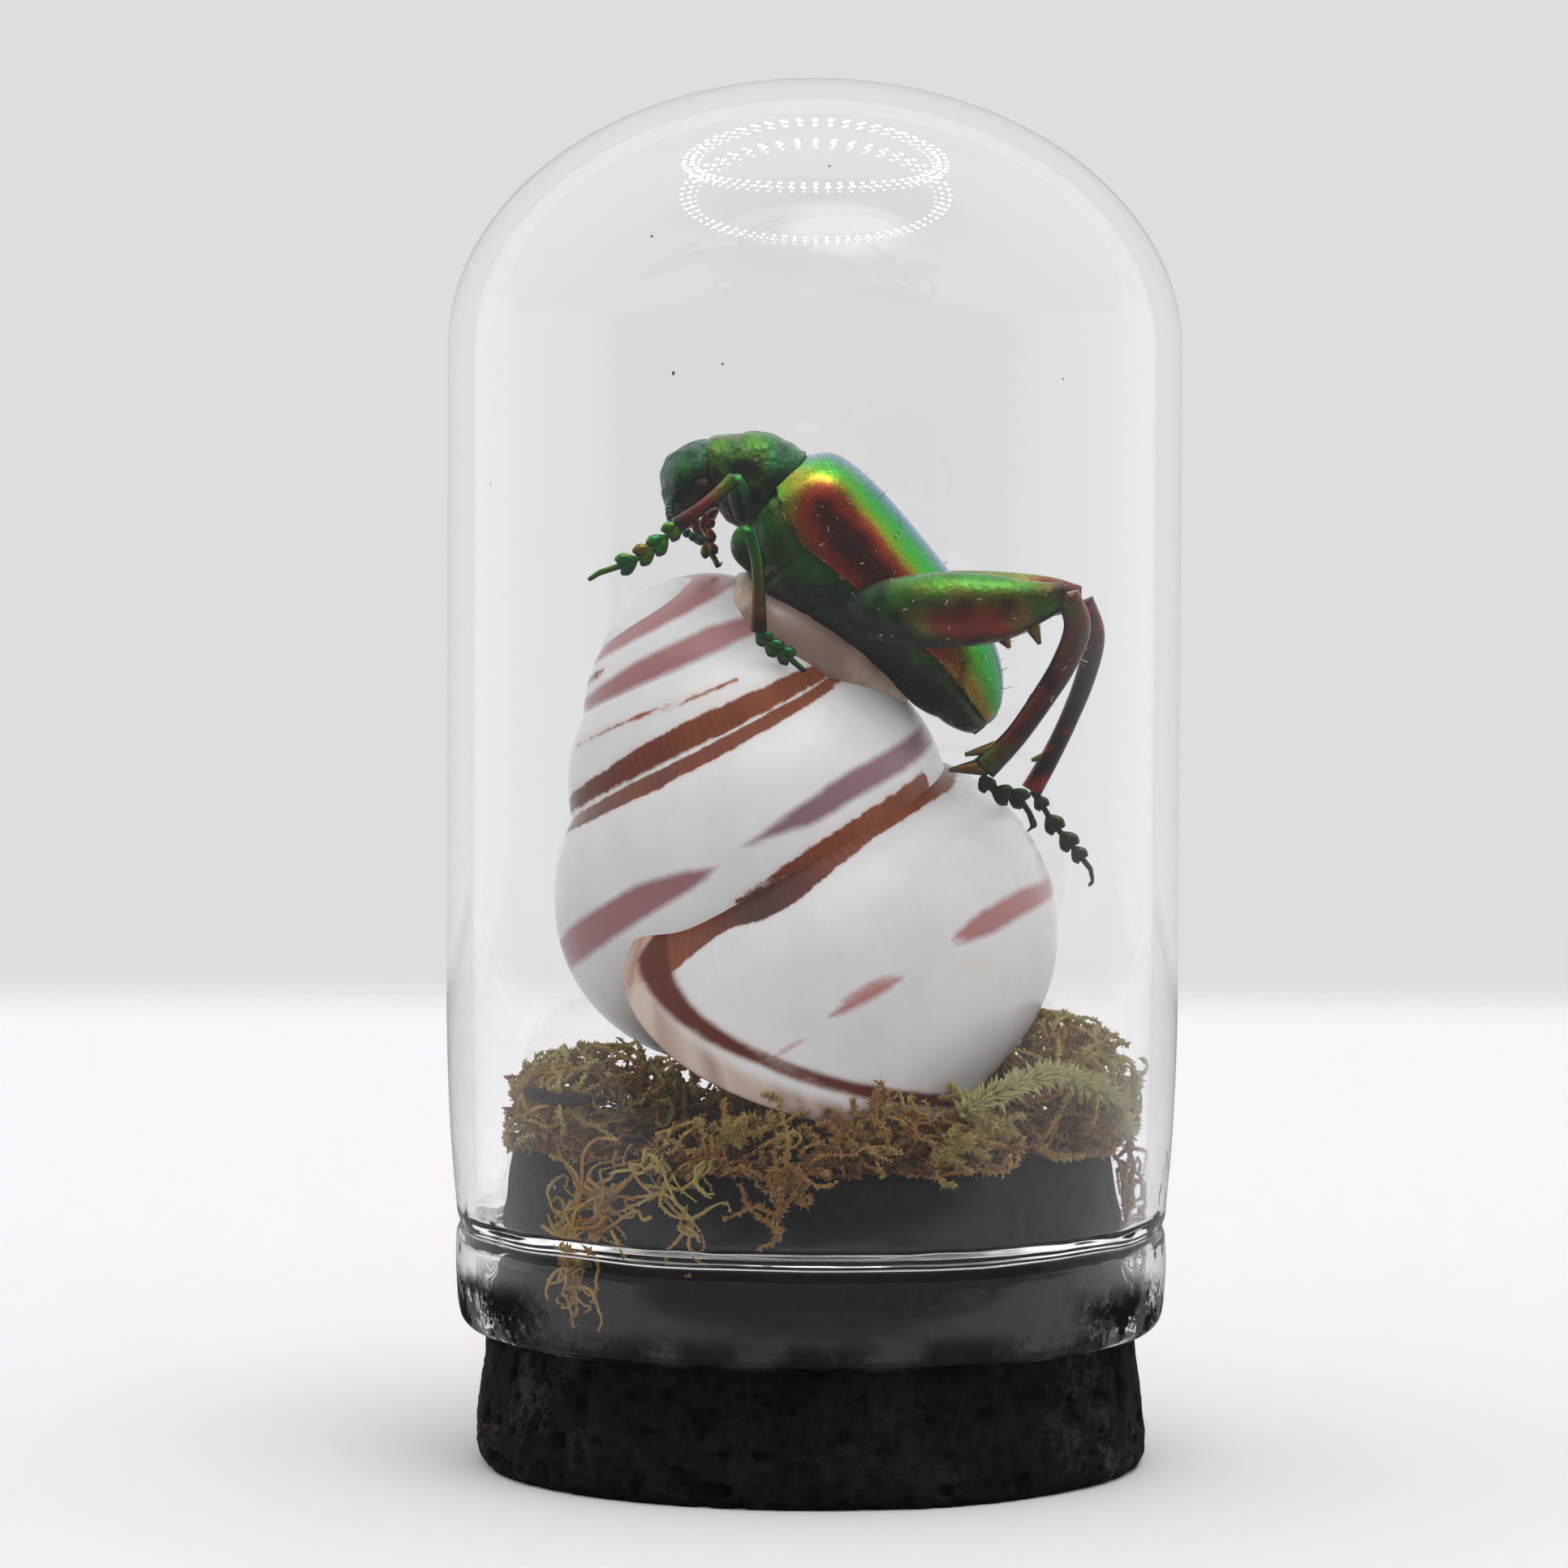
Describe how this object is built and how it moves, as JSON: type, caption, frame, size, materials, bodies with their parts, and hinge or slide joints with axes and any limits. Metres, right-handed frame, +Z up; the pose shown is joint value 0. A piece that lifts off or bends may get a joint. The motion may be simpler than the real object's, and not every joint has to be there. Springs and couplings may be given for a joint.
{
  "type": "insect in glass dome",
  "caption": "Metallic leaf beetle on a banded snail shell bedded in dried moss, on a cork stopper under a small clear glass dome.",
  "frame": {"origin": "centre of the cork stopper's underside", "axes": "+Z up along the dome's axis, -Y towards the front view, +X to the viewer's right"},
  "size_m": [0.038, 0.038, 0.072],
  "materials": {
    "clear_glass": "clear blown glass, fire-polished rim",
    "black_cork": "agglomerated cork stained matte black",
    "snail_shell": "glossy white shell with brown and mauve spiral bands",
    "dried_glue": "dried translucent glue",
    "dry_moss": "dried moss, matte and fibrous",
    "dark_twig": "dark dry bark",
    "beetle_elytra": "iridescent green with teal ridge and copper flank",
    "beetle_body": "metallic olive green cuticle",
    "beetle_head": "dark metallic green cuticle",
    "beetle_legs": "metallic green to copper red cuticle"
  },
  "bodies": {
    "root": {"glass_dome": "clear_glass", "cork_stopper": "black_cork", "snail_shell": "snail_shell", "glue_bead": "dried_glue", "moss_left_clump": "dry_moss", "moss_right_clump": "dry_moss", "moss_front_mat": "dry_moss", "moss_back_mat": "dry_moss", "moss_arch": "dry_moss", "moss_left_tuft": "dry_moss", "moss_front_tuft": "dry_moss", "moss_right_tuft": "dry_moss", "dark_twig": "dark_twig", "beetle_body": "beetle_body", "beetle_elytron_left": "beetle_elytra", "beetle_elytron_right": "beetle_elytra", "beetle_pronotum": "beetle_body", "beetle_head": "beetle_head", "beetle_antenna_left": "beetle_head", "beetle_antenna_right": "beetle_head", "beetle_front_left_leg": "beetle_legs", "beetle_front_right_leg": "beetle_legs", "beetle_middle_left_leg": "beetle_legs", "beetle_middle_right_leg": "beetle_legs", "beetle_hind_left_leg": "beetle_legs", "beetle_hind_right_leg": "beetle_legs"}
  },
  "joints": []
}
